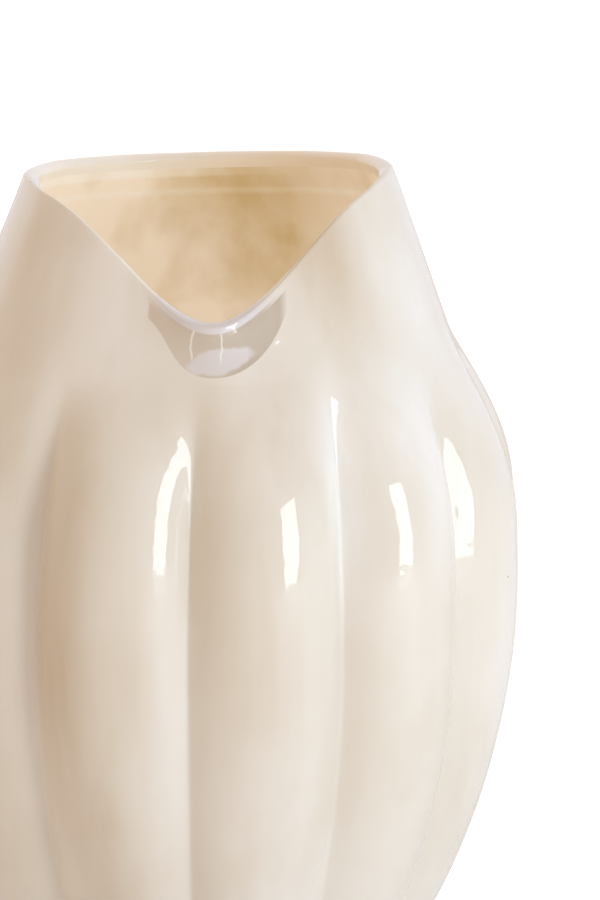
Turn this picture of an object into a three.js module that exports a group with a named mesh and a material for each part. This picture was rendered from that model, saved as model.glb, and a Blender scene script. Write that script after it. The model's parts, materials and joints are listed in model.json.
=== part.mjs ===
// A mouth-blown vase of cased opal glass, with melon ribs, a conical neck and a mouth notched to a pouring lip.
// Millimetres, +Z up. The origin is under the middle of the foot, and the notch faces -Y.
import * as THREE from 'three';
import { mergeVertices } from 'three/addons/utils/BufferGeometryUtils.js';

// Body, measured along the creases between the ribs
const footRadius = 46;
const bellyRadius = 98.5;
const bellyHeight = 130;
const neckRadius = 84.5;
const neckHeight = 222;
const mouthRadius = 62.5;
const mouthHeight = 280;
const mouthDrift = 3.5; // how far the hand-drawn neck stands off the body's axis, towards +X
const bellyFullness = 1.7; // exponent of the curve from the foot to the belly, where 2 is an ellipse
const shoulderFullness = 2; // exponent of the curve from the belly in to the neck

// Ribs
const ribCount = 12;
const ribDepth = 13.5; // crest over crease where the ribs are fullest
const ribDepthAtFoot = 3.6;
const ribFade = 24; // height in which the ribs die out above the foot
const ribStart = 7; // how far up the neck the ribs start
const ribRise = 62; // height in which they swell out below that
const ribSoftness = 0.08; // share of that height in which they start to swell
const creaseTurn = THREE.MathUtils.degToRad(-3); // the front crease from the front, towards +X

// Mouth
const notchDepth = 35;
const notchSpread = 29.5; // along the rim, to where the cut has come up by two thirds
const notchPower = 1.5; // 2 is a round bell, and less makes the notch's sides straighter
const notchRound = 4; // rounds the notch's bottom
const notchTurn = THREE.MathUtils.degToRad(0.8); // the notch from the front, towards +X
const sideLift = 3.5; // the rim's two sides over its back
const rimTilt = 1.3; // the rim's +X side up and its -X side down
const beadHeight = 4.5;
const beadOverhang = 0.1; // the bead past each face of the wall

// Pouring lip
const lipHeight = 12.5;
const lipSpread = 28; // half of its length along the wall
const lipRound = 3; // exponent of its lower edge, where 2 is a parabola
const lipFlare = 8; // how far its edge is drawn out
const lipBend = 20; // height in which the wall bends out to that edge
const lipFlareSpread = 24; // along the wall, to where the flare has sunk to a third
const lipFlarePower = 2; // a round bell along the wall
const lipBendPower = 2; // over 1, so that the wall leans out more and more towards the edge

// Layers of glass
const casingWall = 3;
const casingFloor = 4;
const liningWall = 2;
const liningFloor = 3;
const footThickness = 6;
const puntRadius = 30; // hollow under the foot
const puntDepth = 2.5;
const seam = 0.3; // between one piece of glass and the next

// Facets
const facetsPerRib = 6;
const bodyRows = 8;
const neckRows = 8;
const beadRows = 7;
const lipRows = 4;
const footRows = 3;
const probe = 0.05; // step for measuring a slope
const creaseSlack = 0.01; // share of a rib's angle that still counts as on its crease

// Heights and depths that follow
const ribAngle = 2 * Math.PI / ribCount;
const ribTop = neckHeight + ribStart;
const ribFullHeight = ribTop - ribRise;
const casingBottom = footThickness + seam;
const casingFloorTop = casingBottom + casingFloor;
const liningBottom = casingFloorTop + seam;
const liningFloorTop = liningBottom + liningFloor;
const liningDepth = casingWall + seam;
const wallDepth = liningDepth + liningWall;
const lipAngle = lipSpread / neckRadius;

const { clamp, lerp, smoothstep } = THREE.MathUtils;

// Angles run from the front at -Y round towards +X
const columnAngles = Array.from(
  { length: ribCount * facetsPerRib },
  (_, i) => creaseTurn + (i / facetsPerRib) * ribAngle,
);

function fromNotch(angle) {
  return Math.atan2(Math.sin(angle - notchTurn), Math.cos(angle - notchTurn));
}

function bell(distance, spread, power) {
  return Math.exp(-(Math.abs(distance / spread) ** power));
}

// Height of the mouth's finished edge, which dips into the notch
function edgeHeight(angle) {
  const level = mouthHeight + sideLift * Math.sin(angle) ** 2 + rimTilt * Math.sin(angle);
  const along = Math.hypot(fromNotch(angle) * mouthRadius, notchRound) - notchRound;
  return level - notchDepth * bell(along, notchSpread, notchPower);
}

function lipHeightAt(angle) {
  return lipHeight * Math.max(0, 1 - Math.abs(fromNotch(angle) / lipAngle) ** lipRound);
}

function beadBottom(angle) {
  return edgeHeight(angle) - beadHeight;
}

function wallTop(angle) {
  return beadBottom(angle) - seam - lipHeightAt(angle);
}

// Radius of the creases
function creaseRadius(z) {
  if (z < bellyHeight) {
    const below = Math.min(1, (bellyHeight - z) / bellyHeight);
    const fullness = (1 - below ** bellyFullness) ** (1 / bellyFullness);
    return lerp(footRadius, bellyRadius, fullness);
  }
  if (z < neckHeight) {
    const above = (z - bellyHeight) / (neckHeight - bellyHeight);
    return lerp(bellyRadius, neckRadius, above ** shoulderFullness);
  }
  const up = (z - neckHeight) / (mouthHeight - neckHeight);
  return lerp(neckRadius, mouthRadius, up);
}

// How far the crests stand over the creases
function ribRelief(z) {
  const depth = lerp(ribDepthAtFoot, ribDepth, clamp(z / ribFullHeight, 0, 1));
  const down = clamp((ribTop - z) / ribRise, 0, 1);
  const swell = down ** 2 * (1 + ribSoftness) / (down + ribSoftness);
  return depth * Math.sin(Math.PI / 2 * swell) * smoothstep(z, 0, ribFade);
}

// Each rib is an arc from crease to crease: the distance from the axis to that arc's centre
function arcCentre(z) {
  const crease = creaseRadius(z);
  const crest = crease + ribRelief(z);
  return (crest ** 2 - crease ** 2) / (2 * (crest - crease * Math.cos(ribAngle / 2)));
}

function crestAngle(angle) {
  const ribIndex = Math.floor((angle - creaseTurn) / ribAngle + creaseSlack);
  return creaseTurn + (ribIndex + 0.5) * ribAngle;
}

function lipFlareAt(angle, z) {
  const bend = Math.max(0, 1 - (edgeHeight(angle) - z) / lipBend);
  const along = fromNotch(angle) * neckRadius;
  return lipFlare * bend ** lipBendPower * bell(along, lipFlareSpread, lipFlarePower);
}

function outerRadius(angle, z) {
  const centre = arcCentre(z);
  const arc = creaseRadius(z) + ribRelief(z) - centre;
  const turn = angle - crestAngle(angle);
  const across = centre * Math.sin(turn);
  return centre * Math.cos(turn) + Math.sqrt(arc ** 2 - across ** 2) + lipFlareAt(angle, z);
}

function direction(angle) {
  return new THREE.Vector2(Math.sin(angle), -Math.cos(angle));
}

// A point of the wall at a depth under its outer face, measured square to that face
function wallPoint(angle, z, depth) {
  const outward = direction(angle);
  const point = outward.clone().multiplyScalar(outerRadius(angle, z));
  const crest = crestAngle(angle);
  const onCrease = Math.abs(angle - crest) > ribAngle * (0.5 - creaseSlack);
  const normal = point.clone().addScaledVector(direction(crest), -arcCentre(z)).normalize();
  if (onCrease) {
    normal.copy(outward);
  }
  const slope = (outerRadius(angle, z + probe) - outerRadius(angle, z - probe)) / (2 * probe);
  const lean = slope * normal.dot(outward);
  point.addScaledVector(normal, -depth * Math.hypot(1, lean));
  const drift = mouthDrift * smoothstep(z, bellyHeight, mouthHeight);
  return new THREE.Vector3(point.x + drift, point.y, z);
}

// Skins a grid of points, row by row upwards on an outer face. A row or column may shrink to a tip.
// The diagonals lean over each crest alike on every face, so that faces one behind the other stay parallel.
function skin(rows, rowsClose, columnsClose, firstColumn = 0) {
  const columns = rows[0].length;
  const index = [];
  const pointAt = (i) => rows[Math.floor(i / columns)][i % columns];
  const addTriangle = (a, b, c) => {
    const [p, q, r] = [a, b, c].map(pointAt);
    if (!p.equals(q) && !q.equals(r) && !r.equals(p)) {
      index.push(a, b, c);
    }
  };
  const rowSteps = rowsClose ? rows.length : rows.length - 1;
  const columnSteps = columnsClose ? columns : columns - 1;
  for (let i = 0; i < rowSteps; i += 1) {
    for (let j = 0; j < columnSteps; j += 1) {
      const row = i * columns;
      const nextRow = ((i + 1) % rows.length) * columns;
      const nextColumn = (j + 1) % columns;
      const [a, b, c, d] = [row + j, row + nextColumn, nextRow + nextColumn, nextRow + j];
      const lift = pointAt(d).z - pointAt(a).z || pointAt(a).lengthSq() - pointAt(d).lengthSq();
      const nearsCrest = (firstColumn + j) % facetsPerRib < facetsPerRib / 2;
      const slantsForward = lift > 0 !== nearsCrest;
      addTriangle(a, b, slantsForward ? c : d);
      addTriangle(slantsForward ? a : b, c, d);
    }
  }
  const geometry = new THREE.BufferGeometry().setFromPoints(rows.flat());
  geometry.setIndex(index);
  const merged = mergeVertices(geometry);
  merged.computeVertexNormals();
  return merged;
}

function levelRow(z, depth) {
  return columnAngles.map((angle) => wallPoint(angle, z, depth));
}

function axisRow(z) {
  return columnAngles.map(() => new THREE.Vector3(0, 0, z));
}

// Level rows up the body, then rows that follow the mouth's edge up the neck
const bodyHeights = Array.from(
  { length: bodyRows },
  (_, i) => lerp(liningFloorTop, ribFullHeight, i / bodyRows),
);

function neckRow(step, depth) {
  return columnAngles.map((angle) => {
    const z = lerp(ribFullHeight, wallTop(angle), step / neckRows);
    return wallPoint(angle, z, depth);
  });
}

function wallRows(depth) {
  const neck = Array.from({ length: neckRows + 1 }, (_, i) => neckRow(i, depth));
  return [...bodyHeights.map((z) => levelRow(z, depth)), ...neck];
}

// Outer layer of cream opal glass, blown into the ribbed mould
function outerCasing() {
  const outside = [casingBottom, casingFloorTop].map((z) => levelRow(z, 0)).concat(wallRows(0));
  const inside = [levelRow(casingFloorTop, casingWall), ...wallRows(casingWall)].reverse();
  return skin([axisRow(casingBottom), ...outside, ...inside, axisRow(casingFloorTop)], false, true);
}

// Inner layer of warm opal glass, which follows the casing
function innerLining() {
  const outside = [levelRow(liningBottom, liningDepth), ...wallRows(liningDepth)];
  const inside = wallRows(wallDepth).reverse();
  return skin([axisRow(liningBottom), ...outside, ...inside, axisRow(liningFloorTop)], false, true);
}

// Bit of glass drawn out at the bottom of the notch, as thick as both layers
function pouringLip() {
  const step = ribAngle / facetsPerRib;
  const first = Math.ceil((notchTurn - lipAngle - creaseTurn) / step) - 1;
  const last = Math.floor((notchTurn + lipAngle - creaseTurn) / step) + 1;
  const angles = Array.from({ length: last - first + 1 }, (_, i) => creaseTurn + (first + i) * step);
  const row = (share, depth) => angles.map((angle) => {
    const clearance = Math.min(seam, (beadBottom(angle) - wallTop(angle)) / 2);
    const z = lerp(wallTop(angle) + clearance, beadBottom(angle) - clearance, share);
    return wallPoint(angle, z, depth);
  });
  const shares = Array.from({ length: lipRows + 1 }, (_, i) => i / lipRows);
  const outside = shares.map((share) => row(share, 0));
  const inside = shares.map((share) => row(share, wallDepth)).reverse();
  return skin([...outside, ...inside], true, false, first + columnAngles.length);
}

// Fire-polished bead along the whole edge of the mouth
function rimBead() {
  const middle = wallDepth / 2;
  const reach = middle + beadOverhang;
  const rows = Array.from({ length: beadRows + 1 }, (_, i) => {
    const roll = Math.PI * i / beadRows;
    return columnAngles.map((angle) => {
      const z = beadBottom(angle) + beadHeight * Math.sin(roll);
      return wallPoint(angle, z, middle - reach * Math.cos(roll));
    });
  });
  return skin(rows, true, true);
}

// Thick pad that the vase stands on, ground flat in a ring round a shallow hollow
function groundFoot() {
  const puntRows = Array.from({ length: footRows + 1 }, (_, i) => {
    const share = i / footRows;
    const z = puntDepth * (1 - share ** 2);
    return columnAngles.map((angle) => {
      const point = direction(angle).multiplyScalar(puntRadius * share);
      return new THREE.Vector3(point.x, point.y, z);
    });
  });
  const outside = Array.from({ length: footRows + 1 }, (_, i) => levelRow(footThickness * i / footRows, 0));
  return skin([...puntRows, ...outside, axisRow(footThickness)], false, true);
}

function opalGlass(color, roughness) {
  return new THREE.MeshStandardMaterial({ color, roughness, metalness: 0 });
}

const creamOpal = opalGlass(0xe6dccb, 0.08);
const warmOpal = opalGlass(0xd8b98c, 0.16);
const clearEdge = opalGlass(0xe9e3df, 0.05);

const vase = new THREE.Group();

function addPiece(name, geometry, material) {
  const piece = new THREE.Mesh(geometry, material);
  piece.name = name;
  vase.add(piece);
}

addPiece('ground_foot', groundFoot(), creamOpal);
addPiece('outer_casing', outerCasing(), creamOpal);
addPiece('inner_lining', innerLining(), warmOpal);
addPiece('pouring_lip', pouringLip(), creamOpal);
addPiece('rim_bead', rimBead(), clearEdge);

export default vase;
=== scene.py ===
# %% [markdown]
# # A ribbed vase of blown opal glass
# The real vase is mouth-blown. A warm amber gather is cased in cream opal glass, blown into a mould with
# twelve deep ribs, drawn in to a conical neck, cut with a notch at the front and polished in the fire.
# This lesson makes it in the same order: blow the wall, press the ribs, cut the notch, draw the lip,
# part the layers, then finish the glass and light it. Sizes are in metres, and +Z is up.

# %% Load the solid vase as a fixed frame
import json
import math

import bmesh
import bpy
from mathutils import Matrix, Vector

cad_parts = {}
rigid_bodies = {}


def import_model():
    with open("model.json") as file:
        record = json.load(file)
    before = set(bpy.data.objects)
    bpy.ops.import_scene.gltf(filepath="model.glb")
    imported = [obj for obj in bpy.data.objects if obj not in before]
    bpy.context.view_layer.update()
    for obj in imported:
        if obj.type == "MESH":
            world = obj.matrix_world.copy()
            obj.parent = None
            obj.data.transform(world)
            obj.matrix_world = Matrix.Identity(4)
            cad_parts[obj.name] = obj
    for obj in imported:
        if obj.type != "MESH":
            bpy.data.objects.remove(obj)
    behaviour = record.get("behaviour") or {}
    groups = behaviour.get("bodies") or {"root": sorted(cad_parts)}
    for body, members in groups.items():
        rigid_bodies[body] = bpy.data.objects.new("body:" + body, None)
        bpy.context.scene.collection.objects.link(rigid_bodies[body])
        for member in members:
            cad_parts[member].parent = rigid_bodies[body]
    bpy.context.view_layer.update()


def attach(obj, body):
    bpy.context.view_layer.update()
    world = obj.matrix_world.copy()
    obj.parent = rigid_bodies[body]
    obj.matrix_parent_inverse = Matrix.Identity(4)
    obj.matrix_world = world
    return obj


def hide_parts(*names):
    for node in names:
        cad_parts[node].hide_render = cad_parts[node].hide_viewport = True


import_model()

# %% [markdown]
# ## Sizes
# A glassblower works from a drawing with a few radii and heights. The same ones serve here: the radii
# are those of the creases between the ribs, and the ribs stand out from them.

# %% Sizes of the body and the ribs
MM = 0.001
FOOT_RADIUS = 46 * MM
BELLY_RADIUS = 98.5 * MM
BELLY_HEIGHT = 130 * MM
NECK_RADIUS = 84.5 * MM
NECK_HEIGHT = 222 * MM
MOUTH_RADIUS = 62.5 * MM
MOUTH_HEIGHT = 280 * MM
MOUTH_DRIFT = 3.5 * MM
BELLY_FULLNESS = 1.7
SHOULDER_FULLNESS = 2

RIB_COUNT = 12
RIB_DEPTH = 13.5 * MM
RIB_DEPTH_AT_FOOT = 3.6 * MM
RIB_FADE = 24 * MM
RIB_START = 7 * MM
RIB_TOP = NECK_HEIGHT + RIB_START
RIB_RISE = 54 * MM
RIB_SOFTNESS = 0.08
CREASE_TURN = math.radians(-3)
RIB_ANGLE = 2 * math.pi / RIB_COUNT
print("belly:", round(2 * (BELLY_RADIUS + RIB_DEPTH), 4), "m across,", RIB_COUNT, "ribs")

# %% Sizes of the mouth and of the layers of glass
NOTCH_DEPTH = 35 * MM
NOTCH_SPREAD = 29.5 * MM
NOTCH_POWER = 1.5
NOTCH_ROUND = 4 * MM
NOTCH_TURN = math.radians(0.8)
SIDE_LIFT = 3.5 * MM
RIM_TILT = 1.3 * MM
BEAD_HEIGHT = 4.5 * MM

LIP_HEIGHT = 12.5 * MM
LIP_SPREAD = 27.5 * MM
LIP_ROUND = 4
LIP_TURN = math.radians(1.5)
LIP_FLARE = 7 * MM
LIP_BEND = 20 * MM
LIP_FLARE_SPREAD = 16 * MM
LIP_END_SHARE = 0.3
LIP_LEFT_SHARE = 0.82
LIP_ANGLE = LIP_SPREAD / NECK_RADIUS

FOOT_THICKNESS = 6 * MM
PUNT_RADIUS = 30 * MM
PUNT_DEPTH = 2.5 * MM
CASING_WALL = 3 * MM
LINING_WALL = 2 * MM
SEAM = 0.3 * MM
WALL = CASING_WALL + SEAM + LINING_WALL
THIN_RIM_SHARE = 0.3
print("wall:", round(WALL, 4), "m thick")

# %% [markdown]
# ## The shape as a drawing
# Angles run from the front round towards the right. The creases follow a curve from foot to mouth, each
# rib is an arc of a circle from crease to crease, and the finished edge dips in a bell curve at the
# notch.

# %% Curves of the drawing


def between(low, high, share):
    """The value a share of the way from low to high."""
    return low + (high - low) * share


def smooth_step(value, low, high):
    """A share that eases from 0 at low to 1 at high."""
    share = min(1.0, max(0.0, (value - low) / (high - low)))
    return share * share * (3 - 2 * share)


def from_notch(angle):
    """The angle from the middle of the notch."""
    return math.atan2(math.sin(angle - NOTCH_TURN), math.cos(angle - NOTCH_TURN))


def bell(distance, spread, power):
    """A bell curve, 1 in its middle."""
    return math.exp(-(abs(distance / spread) ** power))


def crease_radius(height):
    """Radius of the creases: a full belly, a shoulder, then the cone of the neck."""
    if height < BELLY_HEIGHT:
        below = min(1.0, (BELLY_HEIGHT - height) / BELLY_HEIGHT)
        fullness = (1 - below**BELLY_FULLNESS) ** (1 / BELLY_FULLNESS)
        return between(FOOT_RADIUS, BELLY_RADIUS, fullness)
    if height < NECK_HEIGHT:
        above = (height - BELLY_HEIGHT) / (NECK_HEIGHT - BELLY_HEIGHT)
        return between(BELLY_RADIUS, NECK_RADIUS, above**SHOULDER_FULLNESS)
    up = (height - NECK_HEIGHT) / (MOUTH_HEIGHT - NECK_HEIGHT)
    return between(NECK_RADIUS, MOUTH_RADIUS, up)


def rib_relief(height):
    """How far the crests stand out from the creases."""
    depth = between(RIB_DEPTH_AT_FOOT, RIB_DEPTH, min(1.0, height / (RIB_TOP - RIB_RISE)))
    down = min(1.0, max(0.0, (RIB_TOP - height) / RIB_RISE))
    swell = down**2 * (1 + RIB_SOFTNESS) / (down + RIB_SOFTNESS)
    return depth * math.sin(math.pi / 2 * swell) * smooth_step(height, 0, RIB_FADE)


def rib_radius(turn, height):
    """Distance from the axis to the wall, where turn is the angle from the rib's crest."""
    crease = crease_radius(height)
    crest = crease + rib_relief(height)
    centre = (crest**2 - crease**2) / (2 * (crest - crease * math.cos(RIB_ANGLE / 2)))
    across = centre * math.sin(turn)
    return centre * math.cos(turn) + math.sqrt((crest - centre) ** 2 - across**2)


def edge_height(angle):
    """Height of the finished edge, with the notch and the slight tilt of handwork."""
    level = MOUTH_HEIGHT + SIDE_LIFT * math.sin(angle) ** 2 + RIM_TILT * math.sin(angle)
    along = math.hypot(from_notch(angle) * MOUTH_RADIUS, NOTCH_ROUND) - NOTCH_ROUND
    return level - NOTCH_DEPTH * bell(along, NOTCH_SPREAD, NOTCH_POWER)


def from_lip(angle):
    """The angle from the middle of the lip, which sits a little aside of the notch."""
    return from_notch(angle - LIP_TURN)


def lip_height(angle):
    """Height of the lip under the bead, less at its sides."""
    aside = from_lip(angle) / LIP_ANGLE
    if aside < 0:
        aside /= LIP_LEFT_SHARE
    return LIP_HEIGHT * max(LIP_END_SHARE, 1 - abs(aside) ** LIP_ROUND)


print("notch bottom:", round(edge_height(0.0), 4), "back of the rim:", round(edge_height(math.pi), 4))

# %% [markdown]
# ## Blow the wall, ring by ring
# A lathe would give a plain round wall, but the ribs need each ring pressed in at the creases. So the
# wall starts as a circle with a vertex on every crease, and is extruded upwards ring by ring. Two
# whole-number attributes, column and row, travel with the vertices, so that later steps can pick them by
# place.

# %% Helpers that pick vertices
FACETS_PER_RIB = 12
COLUMNS = RIB_COUNT * FACETS_PER_RIB


def column_angle(column):
    """The angle of a column of vertices from the front."""
    return CREASE_TURN + column * RIB_ANGLE / FACETS_PER_RIB


def edit_mesh():
    """The mesh in edit mode, with its column and row layers."""
    mesh = bmesh.from_edit_mesh(bpy.context.object.data)
    return mesh, mesh.verts.layers.int["column"], mesh.verts.layers.int["row"]


def pick(test):
    """Selects the vertices whose column and row pass the test, and nothing else."""
    mesh, column, row = edit_mesh()
    bpy.ops.mesh.select_all(action="DESELECT")
    for vertex in mesh.verts:
        if test(vertex[column], vertex[row]):
            vertex.select_set(True)
    mesh.select_flush_mode()


def picked_place():
    """Where the first of the selected vertices is."""
    mesh, column, row = edit_mesh()
    return next(vertex.co.copy() for vertex in mesh.verts if vertex.select)


print("columns:", COLUMNS)

# %% Start a ring


def start_ring(name, height):
    """A circle with a vertex on each column, in edit mode, as row 0."""
    bpy.ops.object.select_all(action="DESELECT")
    bpy.ops.mesh.primitive_circle_add(
        vertices=COLUMNS,
        radius=crease_radius(height),
        location=(0, 0, height),
        rotation=(0, 0, CREASE_TURN),
    )
    ring = bpy.context.object
    ring.name = name
    bpy.ops.object.transform_apply(location=True, rotation=True, scale=True)
    bpy.ops.object.mode_set(mode="EDIT")
    bpy.context.tool_settings.mesh_select_mode = (True, False, False)
    mesh = bmesh.from_edit_mesh(ring.data)
    column = mesh.verts.layers.int.new("column")
    mesh.verts.layers.int.new("row")
    for vertex in mesh.verts:
        angle = math.atan2(vertex.co.x, -vertex.co.y)
        vertex[column] = round((angle - CREASE_TURN) / RIB_ANGLE * FACETS_PER_RIB) % COLUMNS
    bpy.ops.mesh.select_all(action="SELECT")
    return ring


# %% Extrude and press one ring


def press_ring(height, ring_row):
    """Scales the ring's vertices onto the rib arcs, all that lie alike from a crest at once."""
    for step in range(FACETS_PER_RIB // 2 + 1):
        pick(lambda column, row: row == ring_row and column % FACETS_PER_RIB in (step, FACETS_PER_RIB - step))
        turn = (step / FACETS_PER_RIB - 0.5) * RIB_ANGLE
        share = rib_radius(turn, height) / picked_place().xy.length
        bpy.ops.transform.resize(value=(share, share, 1), center_override=(0, 0, height))


def next_ring(rise, share=1.0, centre=(0, 0, 0)):
    """Extrudes the selected ring upwards, scales it and counts it as the next row."""
    bpy.ops.mesh.extrude_region_move(TRANSFORM_OT_translate={"value": (0, 0, rise)})
    bpy.ops.transform.resize(value=(share, share, 1), center_override=centre)
    mesh, column, row = edit_mesh()
    for vertex in mesh.verts:
        if vertex.select:
            vertex[row] += 1


def close_ring(ring_row, steps):
    """Closes a ring to a point in its middle, with a few rings between."""
    pick(lambda column, row: row == ring_row)
    for step in range(steps):
        next_ring(0, 1 - 1 / (steps + 1 - step))
        mesh, column, row = edit_mesh()
        for vertex in mesh.verts:
            if vertex.select:
                vertex[row] = -1 - step
    bpy.ops.mesh.extrude_region_move(TRANSFORM_OT_translate={"value": (0, 0, 0)})
    bpy.ops.mesh.merge(type="CENTER")


# %% Blow the body up to the neck
LOWER_ROWS = 22
UPPER_ROWS = 20
SHOULDER_TOP = (NECK_HEIGHT + RIB_TOP) / 2


def body_heights():
    """Heights of the body's rings, evenly round the curve of the belly and then evenly over the shoulder."""
    power = 2 / BELLY_FULLNESS
    first = math.acos((1 - FOOT_THICKNESS / BELLY_HEIGHT) ** (1 / power))
    turns = [between(first, math.pi / 2, i / LOWER_ROWS) for i in range(LOWER_ROWS)]
    lower = [BELLY_HEIGHT * (1 - math.cos(turn) ** power) for turn in turns]
    upper = [between(BELLY_HEIGHT, SHOULDER_TOP, i / UPPER_ROWS) for i in range(UPPER_ROWS + 1)]
    return lower + upper


heights = body_heights()
neck_row = len(heights) - 1
wall = start_ring("outer_casing_glass", heights[0])
press_ring(heights[0], 0)
for number, height in enumerate(heights[1:], start=1):
    pick(lambda column, row: row == number - 1)
    next_ring(height - heights[number - 1])
    press_ring(height, number)
print("body:", len(heights), "rings of", COLUMNS, "vertices")

# %% [markdown]
# ## Draw the neck and cut the notch
# The neck is a plain cone, so a column of its vertices is a straight line. Scaled about its lowest
# vertex, the column stays on that line and only gets shorter. So one resize a column cuts the whole
# notch without leaving the cone, where a boolean would leave a ragged edge. A second resize gathers the
# rows of the lip.

# %% Draw the neck as a plain cone
NECK_ROWS = 6
LIP_ROWS = 8
MOUTH_ROWS = NECK_ROWS + LIP_ROWS
lip_row = neck_row + NECK_ROWS
bead_row = neck_row + MOUTH_ROWS

neck_step = (MOUTH_HEIGHT - SHOULDER_TOP) / MOUTH_ROWS
for number in range(1, MOUTH_ROWS + 1):
    pick(lambda column, row: row == neck_row + number - 1)
    next_ring(neck_step)
    press_ring(SHOULDER_TOP + number * neck_step, neck_row + number)
print("neck:", MOUTH_ROWS, "rings")

# %% Let the hand-drawn neck lean off the axis
for number in range(LOWER_ROWS, bead_row + 1):
    pick(lambda column, row: row == number)
    height = picked_place().z
    drift = MOUTH_DRIFT * smooth_step(height, BELLY_HEIGHT, MOUTH_HEIGHT)
    bpy.ops.transform.translate(value=(drift, 0, 0))
print("mouth leans:", MOUTH_DRIFT, "m to the right")

# %% Shorten each column to the notch


def place_of(column_wanted, row_wanted):
    """Where the vertex with this column and row is."""
    mesh, column, row = edit_mesh()
    found = next(v for v in mesh.verts if v[column] == column_wanted and v[row] == row_wanted)
    return found.co.copy()


def scale_column(number, first_row, hinge, end, target_height):
    """Scales a column above first_row about its hinge, so that its end row comes to the target height."""
    share = (target_height - hinge.z) / (place_of(number, end).z - hinge.z)
    pick(lambda column, row: column == number and row > first_row)
    bpy.ops.transform.resize(value=(share, share, share), center_override=hinge)


for number in range(COLUMNS):
    angle = column_angle(number)
    bead_bottom = edge_height(angle) - BEAD_HEIGHT
    scale_column(number, neck_row, place_of(number, neck_row), lip_row, bead_bottom - lip_height(angle))
    scale_column(number, lip_row, place_of(number, lip_row), bead_row, bead_bottom)
print("columns cut to the notch:", COLUMNS)

# %% Raise the bead over the cut edge
neck_lean = (NECK_RADIUS - MOUTH_RADIUS) / (MOUTH_HEIGHT - NECK_HEIGHT)
pick(lambda column, row: row == bead_row)
next_ring(BEAD_HEIGHT, 1 - BEAD_HEIGHT * neck_lean / MOUTH_RADIUS, (MOUTH_DRIFT, 0, 0))
print("bead raised:", round(BEAD_HEIGHT, 4), "m high")

# %% [markdown]
# ## Close the floor and keep the creases crisp
# The mould leaves a closed floor and deep grooves between the ribs. The floor is the lowest ring, scaled
# inwards until it merges in the middle. Subdivision would round the grooves away, so edge creases hold
# them, less and less towards the neck, where the real ones melt into the plain cone.

# %% Close the floor
FLOOR_RINGS = 5

close_ring(0, FLOOR_RINGS)
bpy.ops.mesh.select_all(action="SELECT")
bpy.ops.mesh.normals_make_consistent(inside=False)
print("floor closed with", FLOOR_RINGS, "rings")

# %% Crease the grooves and the floor's edge
GROOVE_CREASE = 0.8
GROOVE_SOFT_FROM = 185 * MM
GROOVE_SOFT_TO = 222 * MM

for number in range(neck_row):
    pick(lambda column, row: column % FACETS_PER_RIB == 0 and row in (number, number + 1))
    softness = smooth_step(heights[number], GROOVE_SOFT_FROM, GROOVE_SOFT_TO)
    bpy.ops.transform.edge_crease(value=GROOVE_CREASE * (1 - softness))
pick(lambda column, row: row == 0)
bpy.ops.transform.edge_crease(value=1)
bpy.ops.object.mode_set(mode="OBJECT")
print("grooves creased:", RIB_COUNT)

# %% [markdown]
# ## Draw out the lip
# At the bottom of the notch the hot edge was pulled outwards with a tool. A vertex group, strongest at
# the edge and fading down and sideways, tells a Displace modifier how far each vertex goes. That bends
# the glass softly, where moving the edge alone would leave a kink. A second group marks where the rim
# was drawn thin.

# %% Measure each vertex from the finished edge, and weight the lip
LIP_BEND_POWER = 2
LIP_FLARE_POWER = 2

column_of = [item.value for item in wall.data.attributes["column"].data]
angles = [column_angle(column) for column in column_of]
below = [edge_height(angle) - vertex.co.z for angle, vertex in zip(angles, wall.data.vertices)]
wall.data.attributes.new("below_edge", "FLOAT", "POINT").data.foreach_set("value", below)

lip_group = wall.vertex_groups.new(name="lip")
for index, angle in enumerate(angles):
    bend = max(0.0, 1 - below[index] / LIP_BEND) ** LIP_BEND_POWER
    weight = bend * bell(from_notch(angle) * NECK_RADIUS, LIP_FLARE_SPREAD, LIP_FLARE_POWER)
    lip_group.add([index], weight, "REPLACE")
print("deepest vertex:", round(max(below), 4), "m below the edge")

# %% Weight the rim, which was drawn thin along the arms of the notch
ARM_START = math.radians(16)
ARM_FULL = math.radians(28)
ARM_FADE = math.radians(64)
ARM_END = math.radians(86)

rim_group = wall.vertex_groups.new(name="rim")
for index, angle in enumerate(angles):
    apart = abs(from_notch(angle))
    arm = smooth_step(apart, ARM_START, ARM_FULL) - smooth_step(apart, ARM_FADE, ARM_END)
    on_edge = max(0.0, 1 - below[index] / BEAD_HEIGHT)
    rim_group.add([index], 1 - arm * on_edge, "REPLACE")
print("rim thinned to:", round(THIN_RIM_SHARE * WALL, 4), "m")

# %% Apply the flare


def make_active(piece):
    """Selects one piece alone and makes it the active one."""
    bpy.ops.object.select_all(action="DESELECT")
    piece.select_set(True)
    bpy.context.view_layer.objects.active = piece


def apply_modifier(piece, kind, **settings):
    """Adds a modifier with these settings to a piece and applies it."""
    make_active(piece)
    modifier = piece.modifiers.new(kind.lower(), kind)
    for name, value in settings.items():
        setattr(modifier, name, value)
    bpy.ops.object.modifier_apply(modifier=modifier.name)


apply_modifier(wall, "DISPLACE", direction="Y", strength=-LIP_FLARE, mid_level=0, vertex_group="lip")
print("lip drawn out, lowest y of the wall:", round(min(v.co.y for v in wall.data.vertices), 4))

# %% [markdown]
# ## Part the bead and the lip from the wall
# The bead and the lip are bits of glass of their own, melted onto the wall. Their faces get a material
# slot each. The whole outer face is subdivided while it is one sheet, so that the pieces meet without a
# step. Separate by material then parts them.

# %% Mark the faces of the bead and of the lip
LIP_SLOT = 1
BEAD_SLOT = 2

cream_opal = bpy.data.materials.new("cream_opal_glass")
drawn_lip = bpy.data.materials.new("drawn_lip_glass")
clear_edge = bpy.data.materials.new("fire_polished_edge")
warm_opal = bpy.data.materials.new("warm_opal_lining")
for material in (cream_opal, drawn_lip, clear_edge):
    wall.data.materials.append(material)

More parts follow.
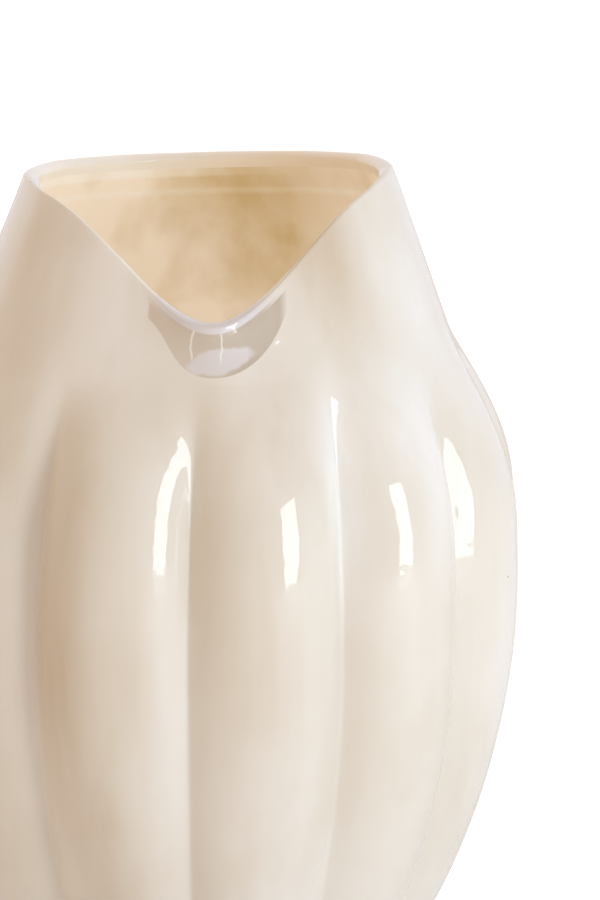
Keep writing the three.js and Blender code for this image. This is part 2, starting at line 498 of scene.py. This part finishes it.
row_of = [item.value for item in wall.data.attributes["row"].data]
for face in wall.data.polygons:
    lowest = min(row_of[i] for i in face.vertices)
    widest = max(abs(from_lip(angles[i])) for i in face.vertices)
    if lowest >= bead_row:
        face.material_index = BEAD_SLOT
    elif lowest >= lip_row and widest <= LIP_ANGLE:
        face.material_index = LIP_SLOT
print("slots:", [material.name for material in wall.data.materials])

# %% Subdivide, and give the sheet the slight waves of handmade glass
WAVE_HEIGHT = 0.5 * MM
WAVE_SIZE = 32 * MM

apply_modifier(wall, "SUBSURF", levels=1, render_levels=1)
waves = bpy.data.textures.new("hand_waves", "CLOUDS")
waves.noise_scale = WAVE_SIZE
apply_modifier(wall, "DISPLACE", texture=waves, texture_coords="LOCAL", strength=WAVE_HEIGHT, mid_level=0.5)
print("outer face:", len(wall.data.polygons), "faces")

# %% Separate the pieces
bpy.ops.object.mode_set(mode="EDIT")
bpy.ops.mesh.select_all(action="SELECT")
bpy.ops.mesh.separate(type="MATERIAL")
bpy.ops.object.mode_set(mode="OBJECT")
parted = {piece.data.materials[0].name: piece for piece in bpy.context.selected_objects}
casing = parted[cream_opal.name]
lip = parted[drawn_lip.name]
bead = parted[clear_edge.name]
casing.name, lip.name, bead.name = "casing_glass", "lip_glass", "bead_glass"
print("parted:", {piece.name: len(piece.data.polygons) for piece in (casing, lip, bead)})

# %% [markdown]
# ## Give the glass its thickness
# Cased glass has two layers: the lining was gathered first and the casing was laid over it. Solidify
# thickens each sheet inwards, so that the outer face keeps its shape. The lining is a copy of the
# casing's sheet, sunk by the casing's wall and a thin seam. At the mouth the fire rounds the edge, which
# a bevel does here.

# %% Line the casing, and thicken the pieces
make_active(casing)
bpy.ops.object.duplicate()
lining = bpy.context.object
lining.name = "lining_glass"
lining.data.materials[0] = warm_opal
apply_modifier(lining, "DISPLACE", direction="NORMAL", strength=-(CASING_WALL + SEAM), mid_level=0)
apply_modifier(lining, "SOLIDIFY", thickness=LINING_WALL, offset=-1)
apply_modifier(casing, "SOLIDIFY", thickness=CASING_WALL, offset=-1)
apply_modifier(lip, "SOLIDIFY", thickness=WALL, offset=-1)
rim_settings = {"vertex_group": "rim", "thickness_vertex_group": THIN_RIM_SHARE}
apply_modifier(bead, "SOLIDIFY", thickness=WALL, offset=-1, **rim_settings)

# %% Clear the weights, which have done their work
for piece in (casing, lining, lip, bead):
    piece.vertex_groups.clear()
    print("thickened:", piece.name, len(piece.data.polygons), "faces")

# %% Round the bead in the fire
PICK_FACES = (False, False, True)
BEAD_SHARE = 48
BEAD_SEGMENTS = 6
ON_EDGE = 0.3 * MM


def open_to_pick(piece, select_mode):
    """Opens a piece in edit mode with nothing selected, to pick its edges or faces."""
    make_active(piece)
    bpy.ops.object.mode_set(mode="EDIT")
    bpy.context.tool_settings.mesh_select_mode = select_mode
    bpy.ops.mesh.select_all(action="DESELECT")
    return bmesh.from_edit_mesh(piece.data)


mesh = open_to_pick(bead, PICK_FACES)
below_layer = mesh.verts.layers.float["below_edge"]
for face in mesh.faces:
    face.select_set(all(vertex[below_layer] < ON_EDGE for vertex in face.verts))
bpy.ops.mesh.region_to_loop()
bpy.ops.mesh.bevel(offset_type="PERCENT", offset_pct=BEAD_SHARE, segments=BEAD_SEGMENTS, affect="EDGES")
bpy.ops.object.mode_set(mode="OBJECT")
print("bead:", len(bead.data.polygons), "faces")

# %% [markdown]
# ## The ground foot
# The vase stands on a thick pad that was ground flat in a ring, round a shallow hollow. On a ring it
# stands firm. A plain round disc wouldn't meet the ribs, so the foot starts from the same ring of
# columns as the body, and is extruded down and then inwards.

# %% Build the side of the foot
FOOT_ROWS = 4

foot = start_ring("foot_glass", FOOT_THICKNESS)
press_ring(FOOT_THICKNESS, 0)
for number in range(1, FOOT_ROWS + 1):
    height = FOOT_THICKNESS * (1 - number / FOOT_ROWS)
    pick(lambda column, row: row == number - 1)
    next_ring(-FOOT_THICKNESS / FOOT_ROWS)
    press_ring(height, number)
print("foot:", FOOT_ROWS, "rings down to the table")

# %% Hollow the foot's underside and close it
PUNT_RINGS = 3

radius, height = FOOT_RADIUS, 0
pick(lambda column, row: row == FOOT_ROWS)
for number in range(PUNT_RINGS):
    last_radius, last_height = radius, height
    radius = PUNT_RADIUS * (1 - number / PUNT_RINGS)
    height = PUNT_DEPTH * (1 - (radius / PUNT_RADIUS) ** 2)
    next_ring(height - last_height, radius / last_radius)
bpy.ops.mesh.extrude_region_move(TRANSFORM_OT_translate={"value": (0, 0, PUNT_DEPTH - height)})
bpy.ops.mesh.merge(type="CENTER")
close_ring(0, FLOOR_RINGS)
bpy.ops.mesh.select_all(action="SELECT")
bpy.ops.mesh.normals_make_consistent(inside=False)
bpy.ops.object.mode_set(mode="OBJECT")
foot.data.materials.append(cream_opal)
print("foot:", len(foot.data.polygons), "faces")

# %% [markdown]
# ## Smooth the glass and join it to the frame
# The moulded glass is warmed again in the fire. That smooths its skin and rounds even the deepest
# grooves a little. Here the shading is smoothed where faces meet at a small angle, and a narrow bevel
# rounds the grooves. Each piece then takes the place of its solid in the frame.

# %% Smooth the shading
SHARP_ANGLE = math.radians(55)

vase = {
    "outer_casing": (casing, "cream_opal"),
    "inner_lining": (lining, "warm_opal"),
    "pouring_lip": (lip, "cream_opal"),
    "rim_bead": (bead, "clear_edge"),
    "ground_foot": (foot, "cream_opal"),
}
bpy.ops.object.select_all(action="DESELECT")
for piece, slot in vase.values():
    piece.select_set(True)
bpy.context.view_layer.objects.active = casing
bpy.ops.object.shade_smooth_by_angle(angle=SHARP_ANGLE)
print("smoothed:", [piece.name for piece, slot in vase.values()])

# %% Round the upright grooves a little, as melted glass does
GROOVE_FILLET = 0.9 * MM
GROOVE_SEGMENTS = 3
GROOVE_ANGLE = math.radians(18)
PICK_EDGES = (False, True, False)

mesh = open_to_pick(casing, PICK_EDGES)
for edge in mesh.edges:
    low, high = sorted(vertex.co.z for vertex in edge.verts)
    upright = high < NECK_HEIGHT and high - low > edge.calc_length() / 2
    edge.select_set(upright and edge.calc_face_angle(0.0) > GROOVE_ANGLE)
bpy.ops.mesh.bevel(offset=GROOVE_FILLET, segments=GROOVE_SEGMENTS, affect="EDGES", clamp_overlap=True)
bpy.ops.mesh.mark_sharp(clear=True)
bpy.ops.object.mode_set(mode="OBJECT")
print("casing with rounded grooves:", len(casing.data.polygons), "faces")

# %% Join the pieces to the frame
for node, (piece, slot) in vase.items():
    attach(piece, "root")
    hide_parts(node)
    print(piece.name, len(piece.data.polygons), "faces")

# %% [markdown]
# ## Opal glass
# Opal glass is milky: light scatters inside it, and only its skin shines. So each material is a matt
# body under a clear coat, whose fine ripples fray the highlights. The body's colour is worked out from
# the place on the vase. The cream is thinner in a few streaks that were drawn out with the glass, so
# that the amber lining shows there as tan. The creases get a little tan as painted shade. Tan and pale
# patches are partly real clouds and streaks, and partly painted shade and painted light on the ribs.

# %% Helpers that add shader nodes


def add_node(tree, kind, settings=(), **inputs):
    """Adds a node with its settings. An input is a value for a socket, or the socket that feeds it."""
    node = tree.nodes.new(kind)
    for name, value in dict(settings).items():
        setattr(node, name, value)
    for name, value in inputs.items():
        socket = node.inputs[int(name[1:])] if name[0] == "_" else node.inputs[name.replace("_", " ")]
        if isinstance(value, bpy.types.NodeSocket):
            tree.links.new(value, socket)
        else:
            socket.default_value = value
    return node


def math_node(tree, operation, *values):
    """The result of a sum on numbers."""
    inputs = {f"_{number}": value for number, value in enumerate(values)}
    return add_node(tree, "ShaderNodeMath", {"operation": operation}, **inputs).outputs[0]


def vector_node(tree, operation, *vectors):
    """A node with a sum on vectors."""
    inputs = {f"_{number}": vector for number, vector in enumerate(vectors)}
    return add_node(tree, "ShaderNodeVectorMath", {"operation": operation}, **inputs)


def eased(tree, value, low, high):
    """A share that eases from 0 at low to 1 at high."""
    settings = {"interpolation_type": "SMOOTHSTEP"}
    node = add_node(tree, "ShaderNodeMapRange", settings, Value=value, From_Min=low, From_Max=high)
    return node.outputs[0]


def mix_colours(tree, share, first, second):
    """The first colour where the share is 0, the second where it is 1."""
    node = add_node(tree, "ShaderNodeMix", {"data_type": "RGBA"}, _0=share, _6=first, _7=second)
    return node.outputs[2]


# %% Helpers that look at the place on the vase


def noise(tree, place, scale, detail=3, stretch=(1, 1, 1)):
    """Soft cloudy noise from 0 to 1, stretched along an axis by a small number there."""
    mapped = add_node(tree, "ShaderNodeMapping", Vector=place, Scale=stretch).outputs[0]
    return add_node(tree, "ShaderNodeTexNoise", Vector=mapped, Scale=scale, Detail=detail).outputs[0]


def axis_of(tree, place, axis):
    """One of a place's three lengths, X, Y or Z."""
    return add_node(tree, "ShaderNodeSeparateXYZ", Vector=place).outputs[axis]


def apart_from(tree, value, middle):
    """How far a value is from a middle, on either side."""
    return math_node(tree, "ABSOLUTE", math_node(tree, "SUBTRACT", value, middle))


def below_edge(tree):
    """Depth below the finished edge, as measured when the lip was weighted."""
    return add_node(tree, "ShaderNodeAttribute", {"attribute_name": "below_edge"}).outputs["Fac"]


def angle_round(tree, place):
    """The angle from the front, round the vase's axis."""
    backwards = math_node(tree, "MULTIPLY", axis_of(tree, place, "Y"), -1)
    return math_node(tree, "ARCTAN2", axis_of(tree, place, "X"), backwards)


# %% Tan and pale patches of the cream opal, with painted shade and painted light
# Each patch is an angle in degrees and a height in millimetres, half its width and height, and its strength.
# Some patches are real clouds and streaks in the glass. Others are painted shade on rib sides turned from the
# lamp, and painted light on rib sides turned to it and in the far left crease.
TAN_AND_SHADE_PATCHES = (
    (-28, 140, 9, 85, 0.7),
    (-19, 65, 9, 60, 0.6),
    (-15, 130, 10, 55, 0.3),
    (-2, 219, 12, 26, 0.4),
    (10, 125, 9, 60, 0.3),
    (18, 222, 14, 30, 0.3),
    (36, 266, 16, 48, 1.1),
)
PALE_AND_LIT_PATCHES = (
    (-30, 248, 26, 55, 1.3),
    (-33, 140, 6, 95, 0.9),
    (-7, 125, 5, 95, 0.25),
    (28, 190, 6, 48, 1.0),
    (48, 192, 12, 50, 1.0),
    (64, 240, 22, 45, 0.5),
    (72, 150, 18, 95, 0.6),
)


def patch_share(tree, angle, height, patches):
    """Sum of soft patches, each fading out from its middle."""
    total = 0
    for degrees, level, wide, high, strength in patches:
        across = eased(tree, apart_from(tree, angle, math.radians(degrees)), math.radians(wide), 0)
        upwards = eased(tree, apart_from(tree, height, level * MM), high * MM, 0)
        patch = math_node(tree, "MULTIPLY", across, upwards)
        total = math_node(tree, "MULTIPLY_ADD", patch, strength, total)
    return total


print("patches:", len(TAN_AND_SHADE_PATCHES), "tan and", len(PALE_AND_LIT_PATCHES), "pale_and_lit")

# %% Painted crease shade and seeds of the cream opal
CREASE_REACH = 0.42
SEED_SCALE = 95
SEED_RANGE = (0.045, 0.02)
SEED_GROUP_SCALE = 60
SEED_GROUP_RANGE = (0.58, 0.62)


def crease_shade(tree, angle, height):
    """Painted shade: 1 in the creases and 0 on the crests, fading out at the neck."""
    ribs = math_node(tree, "MULTIPLY_ADD", angle, 1 / RIB_ANGLE, -CREASE_TURN / RIB_ANGLE)
    near = eased(tree, math_node(tree, "PINGPONG", ribs, 0.5), CREASE_REACH, 0)
    return math_node(tree, "MULTIPLY", near, eased(tree, height, RIB_TOP, RIB_TOP - RIB_RISE))


def seed_share(tree, place):
    """1 in a few tiny seeds, which lie in groups."""
    cells = add_node(tree, "ShaderNodeTexVoronoi", Vector=place, Scale=SEED_SCALE)
    seeds = eased(tree, cells.outputs["Distance"], *SEED_RANGE)
    few = eased(tree, noise(tree, place, SEED_GROUP_SCALE, 1), *SEED_GROUP_RANGE)
    return math_node(tree, "MULTIPLY", seeds, few)


# %% Colour of the cream opal
CREAM = (0.82, 0.77, 0.68, 1)
PALE_CREAM = (0.94, 0.93, 0.90, 1)
TAN = (0.61, 0.47, 0.31, 1)
SEED_BROWN = (0.25, 0.15, 0.08, 1)
CLOUD_SCALE = 16
CLOUD_RANGE = (0.35, 0.7)
CLOUD_SHARE = 0.4
STREAK_SCALE = 60
STREAK_STRETCH = (1, 1, 0.1)
STREAK_RANGE = (0.42, 0.72)
STREAK_TAN = 0.12
PATCH_EVEN = 0.6
PATCH_STREAKY = 0.3
CREASE_SHADE_TAN = 0.06


def cream_colour(tree, place):
    """Cream with pale clouds, tan streaks and a few brown seeds, with painted shade in the creases and
    painted light and shade in patches.
    """
    angle = angle_round(tree, place)
    height = axis_of(tree, place, "Z")
    clouds = eased(tree, noise(tree, place, CLOUD_SCALE, 4), *CLOUD_RANGE)
    streaks = eased(tree, noise(tree, place, STREAK_SCALE, 4, STREAK_STRETCH), *STREAK_RANGE)
    # Pale patches: partly real clouds, partly painted light.
    pale_and_lit = patch_share(tree, angle, height, PALE_AND_LIT_PATCHES)
    cream = mix_colours(tree, math_node(tree, "MULTIPLY_ADD", clouds, CLOUD_SHARE, pale_and_lit), CREAM, PALE_CREAM)
    streaky = math_node(tree, "MULTIPLY_ADD", streaks, PATCH_STREAKY, PATCH_EVEN)
    # Tan patches: partly real smears, partly painted shade.
    smears_and_shade = math_node(tree, "MULTIPLY", patch_share(tree, angle, height, TAN_AND_SHADE_PATCHES), streaky)
    # A little painted shade in the creases, added to the tan patches.
    tan_and_shade = math_node(tree, "MULTIPLY_ADD", crease_shade(tree, angle, height), CREASE_SHADE_TAN, smears_and_shade)
    tan_and_shade = math_node(tree, "MULTIPLY_ADD", streaks, STREAK_TAN, tan_and_shade)
    colour = mix_colours(tree, tan_and_shade, cream, TAN)
    return mix_colours(tree, seed_share(tree, place), colour, SEED_BROWN)


# %% Finish of polished opal glass
BODY_ROUGHNESS = 0.5
GLOSS = 0.04
GLASS_IOR = 1.5
RIPPLE_STRENGTH = 0.18
RIPPLE_HEIGHT = 0.5 * MM

# Each layer of ripples is a scale, a detail, a stretch and a share.
RIPPLES = ((300, 0, (1, 1, 1), 0.625), (110, 2, (1, 1, 1), 0.25), (38, 2, (1, 1, 0.4), 1))


def ripples(tree, place):
    """Fine unevenness of blown glass, which frays the edges of its highlights."""
    height = 0
    for scale, detail, stretch, share in RIPPLES:
        layer = noise(tree, place, scale, detail, stretch)
        height = math_node(tree, "MULTIPLY_ADD", layer, share, height)
    bump = add_node(tree, "ShaderNodeBump", Height=height, Strength=RIPPLE_STRENGTH, Distance=RIPPLE_HEIGHT)
    return bump.outputs[0]


def polish(material, colour_of, shine=1):
    """Gives a material a matt body in its colour, under a clear coat with ripples."""
    material.use_nodes = True
    tree = material.node_tree
    place = add_node(tree, "ShaderNodeTexCoord").outputs["Object"]
    glass = tree.nodes["Principled BSDF"]
    tree.links.new(colour_of(tree, place), glass.inputs["Base Color"])
    tree.links.new(ripples(tree, place), glass.inputs["Coat Normal"])
    glass.inputs["Roughness"].default_value = BODY_ROUGHNESS
    glass.inputs["Specular IOR Level"].default_value = 0
    glass.inputs["Coat Weight"].default_value = shine
    glass.inputs["Coat Roughness"].default_value = GLOSS
    glass.inputs["Coat IOR"].default_value = GLASS_IOR


polish(cream_opal, cream_colour)
print("polished:", cream_opal.name)

# %% [markdown]
# ## The drawn lip
# Where the edge was pulled out, its face turns down, so it is painted grey, as shade and as a dark
# reflection. Near its bottom sits a painted reflection of a bright blob, under painted reflections of two
# thin light lines. The blob is an ellipsoid and the lines are narrow upright bands. Both are looked up at
# a place that noise shifts a little, so that their edges waver like the real ones.

# %% Painted reflection of a bright blob on the lip
LIP_WAVES = Vector((4, 4, 4)) * MM
LIP_WAVE_SCALE = 130
BLOB_REFLECTION_AT = Vector((6, -82, 233.5)) * MM
BLOB_REFLECTION_SIZE = Vector((12, 9, 4.2)) * MM
BLOB_REFLECTION_TURN = (0, math.radians(-12), 0)
BLOB_REFLECTION_RANGE = (1.1, 0.8)
BLOB_REFLECTION_SHARE = 0.85


def wavy_place(tree, place):
    """The place on the vase, shifted by noise, half of it either way."""
    drift = add_node(tree, "ShaderNodeTexNoise", Vector=place, Scale=LIP_WAVE_SCALE, Detail=2)
    shifted = vector_node(tree, "MULTIPLY_ADD", drift.outputs["Color"], LIP_WAVES, place)
    return vector_node(tree, "SUBTRACT", shifted.outputs[0], LIP_WAVES / 2).outputs[0]


def blob_reflection_share(tree, wavy):
    """The painted reflection of a bright blob, an ellipsoid that leans a little."""
    turned = {"vector_type": "TEXTURE"}
    around = {"Location": BLOB_REFLECTION_AT, "Rotation": BLOB_REFLECTION_TURN, "Scale": BLOB_REFLECTION_SIZE}
    from_blob = add_node(tree, "ShaderNodeMapping", turned, Vector=wavy, **around).outputs[0]
    away = vector_node(tree, "LENGTH", from_blob).outputs["Value"]
    return math_node(tree, "MULTIPLY", eased(tree, away, *BLOB_REFLECTION_RANGE), BLOB_REFLECTION_SHARE)


# %% Painted reflections of two thin light lines on the lip
REFLECTED_LINES = (-3 * MM, 6.5 * MM)
REFLECTED_LINE_WIDTH = 0.5 * MM
REFLECTED_LINE_ENDS = (13 * MM, 11 * MM)
REFLECTED_LINE_SHARE = 0.8


def reflected_line_share(tree, wavy):
    """The painted reflections of two thin light lines, which end above the bottom of the lip."""
    across = axis_of(tree, wavy, "X")
    painted_line = 0
    for middle in REFLECTED_LINES:
        aside = apart_from(tree, across, middle)
        painted_line = math_node(tree, "MAXIMUM", eased(tree, aside, REFLECTED_LINE_WIDTH, 0), painted_line)
    painted_line = math_node(tree, "MULTIPLY", painted_line, eased(tree, below_edge(tree), *REFLECTED_LINE_ENDS))
    return math_node(tree, "MULTIPLY", painted_line, REFLECTED_LINE_SHARE)


# %% Colour of the lip
# A lilac colour for painted reflections of the bright room, on the lip and along its edge.
REFLECTED_LILAC = (0.76, 0.73, 0.74, 1)
# The lip's beiges are painted shade, greyer towards the right.
PALE_BEIGE = (0.72, 0.645, 0.555, 1)
SHADE_GREY_BEIGE = (0.57, 0.49, 0.40, 1)
LIP_SHADE_SIDE = (-14 * MM, 24 * MM)
LIP_STREAK_SCALE = 60
LIP_STREAK_STRETCH = (1, 1, 0.2)
LIP_STREAK_SHARE = 0.3
LIP_MIDDLE = 4.5 * MM
LIP_SIDES = (20 * MM, 24 * MM)
LIP_SHINE = 0.1


def lip_colour(tree, place):
    """Painted grey shade with the painted reflections of the blob and the lines, and the casing's cream at
    its sides.
    """
    across = axis_of(tree, place, "X")
    wavy = wavy_place(tree, place)
    streaks = noise(tree, place, LIP_STREAK_SCALE, 3, LIP_STREAK_STRETCH)
    # Painted shade: the lip gets greyer towards the right.
    to_right = math_node(tree, "MULTIPLY_ADD", streaks, LIP_STREAK_SHARE, eased(tree, across, *LIP_SHADE_SIDE))
    lip_shade = mix_colours(tree, to_right, PALE_BEIGE, SHADE_GREY_BEIGE)
    # The painted reflection of the bright blob.
    pale_and_lit = mix_colours(tree, blob_reflection_share(tree, wavy), lip_shade, REFLECTED_LILAC)
    # The painted reflections of the two light lines, in pale cream.
    drawn = mix_colours(tree, reflected_line_share(tree, wavy), pale_and_lit, PALE_CREAM)
    at_sides = eased(tree, apart_from(tree, across, LIP_MIDDLE), *LIP_SIDES)
    return mix_colours(tree, at_sides, drawn, cream_colour(tree, place))


polish(drawn_lip, lip_colour, LIP_SHINE)
print("polished:", drawn_lip.name)

# %% [markdown]
# ## The lining and the rim
# The lining is the first gather, mottled amber glass. It is painted deepest amber in one spot at the
# back right, as shade on the inner wall turned from the lamp, and cream under the rim on the left, as
# painted light. In the fire the rim melts. The rim is cream at the front and tan towards the back right,
# with a painted lilac reflection along the lip's edge. Each is a mix of the same few colours, by place
# and by noise.

# %% Colour of the lining
AMBER = (0.57, 0.40, 0.19, 1)
HONEY = (0.80, 0.65, 0.455, 1)
# Painted shade: the lining is deepest amber round this spot on the back right.
SHADED_AMBER_SPOT = Vector((26, 56, 266)) * MM
SHADED_AMBER_REACH = 62 * MM
AMBER_EXTRA = -0.35
MOTTLE_SCALE = 34
MOTTLE_STRETCH = (1, 1, 0.7)
MOTTLE_RANGE = (0.33, 0.66)
MOTTLE_SHARE = 0.65
BAND_DEPTH = 12 * MM
BAND_WIDTH = 2.5 * MM
BAND_SHARE = 0.3
# Painted light: cream under the rim, only on the left, which faces the lamp.
UNDER_RIM = (7.5 * MM, 6 * MM)
UNDER_RIM_LIT_SIDE = (45 * MM, -25 * MM)
UNDER_RIM_SHARE = 0.6


def pale_share(tree, place):
    """Clouds of paler glass in the lining, fewer round a spot at the back right that is painted deeper amber
    as shade.
    """
    clouds = eased(tree, noise(tree, place, MOTTLE_SCALE, 8, MOTTLE_STRETCH), *MOTTLE_RANGE)
    away = vector_node(tree, "DISTANCE", place, SHADED_AMBER_SPOT).outputs["Value"]
    spread = math_node(tree, "ADD", eased(tree, away, 0, SHADED_AMBER_REACH), AMBER_EXTRA)
    return math_node(tree, "MULTIPLY_ADD", clouds, MOTTLE_SHARE, spread)


def lining_colour(tree, place):
    """Mottled amber with a faint paler band a little below the rim, and cream under the rim as painted light
    that fades out towards the right.
    """
    amber = mix_colours(tree, pale_share(tree, place), AMBER, HONEY)
    band = eased(tree, apart_from(tree, below_edge(tree), BAND_DEPTH), BAND_WIDTH, 0)
    faint = math_node(tree, "MULTIPLY", band, BAND_SHARE)
    near_rim = math_node(tree, "MULTIPLY", eased(tree, below_edge(tree), *UNDER_RIM), UNDER_RIM_SHARE)
    lit_left = eased(tree, axis_of(tree, place, "X"), *UNDER_RIM_LIT_SIDE)
    lit_under_rim = math_node(tree, "MULTIPLY", near_rim, lit_left)
    return mix_colours(tree, math_node(tree, "MAXIMUM", faint, lit_under_rim), amber, CREAM)


polish(warm_opal, lining_colour)
print("polished:", warm_opal.name)

# %% Colour of the rim
RIM_TAN = (0.74, 0.61, 0.46, 1)
RIM_CLOUD_SCALE = 25
RIM_CLOUD_SHARE = 0.6
RIM_CLOUD_BASE = 0.4
RIM_TAN_SIDE = (-30 * MM, 40 * MM)
BACK_SIDE = (-10 * MM, 25 * MM)
LIP_FRONT = (-68 * MM, -77 * MM)
LIP_EDGE = (2.4 * MM, 3.4 * MM)


def at_back(tree, place):
    """1 on the back half of the vase, fading towards the front."""
    return eased(tree, axis_of(tree, place, "Y"), *BACK_SIDE)


def rim_colour(tree, place):
    """The casing's cream at the front with tan towards the back right, and a painted lilac reflection along
    the lip's edge.
    """
    clouds = noise(tree, place, RIM_CLOUD_SCALE)
    clouds = math_node(tree, "MULTIPLY_ADD", clouds, RIM_CLOUD_SHARE, RIM_CLOUD_BASE)
    to_right = eased(tree, axis_of(tree, place, "X"), *RIM_TAN_SIDE)
    back_right_tan = math_node(tree, "MULTIPLY", math_node(tree, "MULTIPLY", at_back(tree, place), to_right), clouds)
    tinted = mix_colours(tree, back_right_tan, cream_colour(tree, place), RIM_TAN)
    # A painted reflection: a lilac band along the lip's edge.
    at_lip = eased(tree, axis_of(tree, place, "Y"), *LIP_FRONT)
    drawn = eased(tree, below_edge(tree), *LIP_EDGE)
    reflected_edge = mix_colours(tree, drawn, REFLECTED_LILAC, lip_colour(tree, place))
    return mix_colours(tree, at_lip, tinted, reflected_edge)


polish(clear_edge, rim_colour)
print("polished:", clear_edge.name)

# %% [markdown]
# ## Light in the glass
# A lit vessel of opal glass glows inside, because light comes through its walls from behind. Scattering
# light in walls this thin is slow and leaves lines where the pieces meet. So a weak glow of the lining
# and of the back of the rim stands in for it.

# %% Let the lining glow
LINING_GLOW = 0.25
AMBER_GLOW = (0.54, 0.48, 0.27, 1)
PALE_GLOW = (0.92, 0.99, 0.99, 1)

tree = warm_opal.node_tree
glass = tree.nodes["Principled BSDF"]
place = add_node(tree, "ShaderNodeTexCoord").outputs["Object"]
glow = mix_colours(tree, pale_share(tree, place), AMBER_GLOW, PALE_GLOW)
tree.links.new(glow, glass.inputs["Emission Color"])
glass.inputs["Emission Strength"].default_value = LINING_GLOW
print("glow of the lining:", LINING_GLOW)

# %% Let the back of the rim glow
RIM_GLOW = 0.16

tree = clear_edge.node_tree
glass = tree.nodes["Principled BSDF"]
place = add_node(tree, "ShaderNodeTexCoord").outputs["Object"]
tree.links.new(rim_colour(tree, place), glass.inputs["Emission Color"])
tree.links.new(math_node(tree, "MULTIPLY", at_back(tree, place), RIM_GLOW), glass.inputs["Emission Strength"])
print("glow of the rim:", RIM_GLOW)

# %% [markdown]
# ## Camera, floor and studio light
# The photo was taken with a long lens that looks slightly down. Each rib shows one long highlight, so
# one tall strip lamp stands to the right of the camera. The white room does the rest: it is brightest
# behind the vase, warm on its left and neutral on its right. A pale floor, which isn't part of the vase,
# catches the shadow.

# %% Camera
TARGET = Vector((34.0, -1.2, 187)) * MM
EYE = Vector((-17.1, -1465.9, 506.5)) * MM
LENS = 177.7

bpy.ops.object.camera_add(location=EYE, rotation=(TARGET - EYE).to_track_quat("-Z", "Y").to_euler())
camera = bpy.context.object
camera.data.lens = LENS
bpy.context.scene.camera = camera
bpy.context.scene.view_settings.view_transform = "Standard"
print("camera:", round((TARGET - EYE).length, 3), "m away")

# %% Floor
FLOOR_SIZE = 6
PAPER_GRAIN = 6
PAPER_GREY = (0.84, 0.84, 0.86, 1)
PAPER_PALE = (0.88, 0.88, 0.89, 1)
PAPER_ROUGHNESS = 0.8
PAPER_WHITE = 0.42
WHITE = (1, 1, 1, 1)

bpy.ops.mesh.primitive_plane_add(size=FLOOR_SIZE)
floor = bpy.context.object
floor.name = "pale_floor"
pale_floor = bpy.data.materials.new("pale_floor_paper")
floor.data.materials.append(pale_floor)
pale_floor.use_nodes = True
tree = pale_floor.node_tree
place = add_node(tree, "ShaderNodeTexCoord").outputs["Object"]
paper = mix_colours(tree, noise(tree, place, PAPER_GRAIN), PAPER_GREY, PAPER_PALE)
surface = tree.nodes["Principled BSDF"]
tree.links.new(paper, surface.inputs["Base Color"])
surface.inputs["Roughness"].default_value = PAPER_ROUGHNESS
surface.inputs["Emission Color"].default_value = WHITE
seen = add_node(tree, "ShaderNodeLightPath").outputs["Is Camera Ray"]
tree.links.new(math_node(tree, "MULTIPLY", seen, PAPER_WHITE), surface.inputs["Emission Strength"])
print("floor:", FLOOR_SIZE, "m across")

# %% Strip lamp
STRIP_AT = Vector((0.85, -0.90, 0.36))
STRIP_SIZE = (0.42, 0.71)
STRIP_WATTS = 6.5
STRIP_COLOUR = (0.80, 0.92, 1.0)
LIT_POINT = Vector((0, 0, 0.2))

strip_turn = (LIT_POINT - STRIP_AT).to_track_quat("-Z", "Y").to_euler()
bpy.ops.object.light_add(type="AREA", location=STRIP_AT, rotation=strip_turn)
strip = bpy.context.object
strip.name = "strip_softbox"
strip.data.shape = "RECTANGLE"
strip.data.size, strip.data.size_y = STRIP_SIZE
strip.data.energy = STRIP_WATTS
strip.data.color = STRIP_COLOUR
print("strip lamp:", STRIP_WATTS, "W")

# %% White room, bright behind the vase, warm on the left and neutral on the right
BACK_LIGHT = (1.5, 1.5, 1.5, 1)
RIGHT_LIGHT = (0.54, 0.51, 0.55, 1)
LEFT_LIGHT = (0.72, 0.52, 0.32, 1)
MIRRORED_FRONT = (0.45, 0.45, 0.45, 1)
MIRRORED_BACK = (0.90, 0.89, 0.96, 1)

world = bpy.data.worlds.new("white_room")
bpy.context.scene.world = world
world.use_nodes = True
tree = world.node_tree
way = add_node(tree, "ShaderNodeTexCoord").outputs["Generated"]
behind = eased(tree, axis_of(tree, way, "Y"), 0, 1)
to_right = eased(tree, axis_of(tree, way, "X"), -1, 1)
room = mix_colours(tree, behind, mix_colours(tree, to_right, LEFT_LIGHT, RIGHT_LIGHT), BACK_LIGHT)
mirrored = mix_colours(tree, behind, MIRRORED_FRONT, MIRRORED_BACK)
rays = add_node(tree, "ShaderNodeLightPath")
room = mix_colours(tree, rays.outputs["Is Glossy Ray"], room, mirrored)
room = mix_colours(tree, rays.outputs["Is Camera Ray"], room, WHITE)
tree.links.new(room, tree.nodes["Background"].inputs["Color"])
print("room:", world.name)
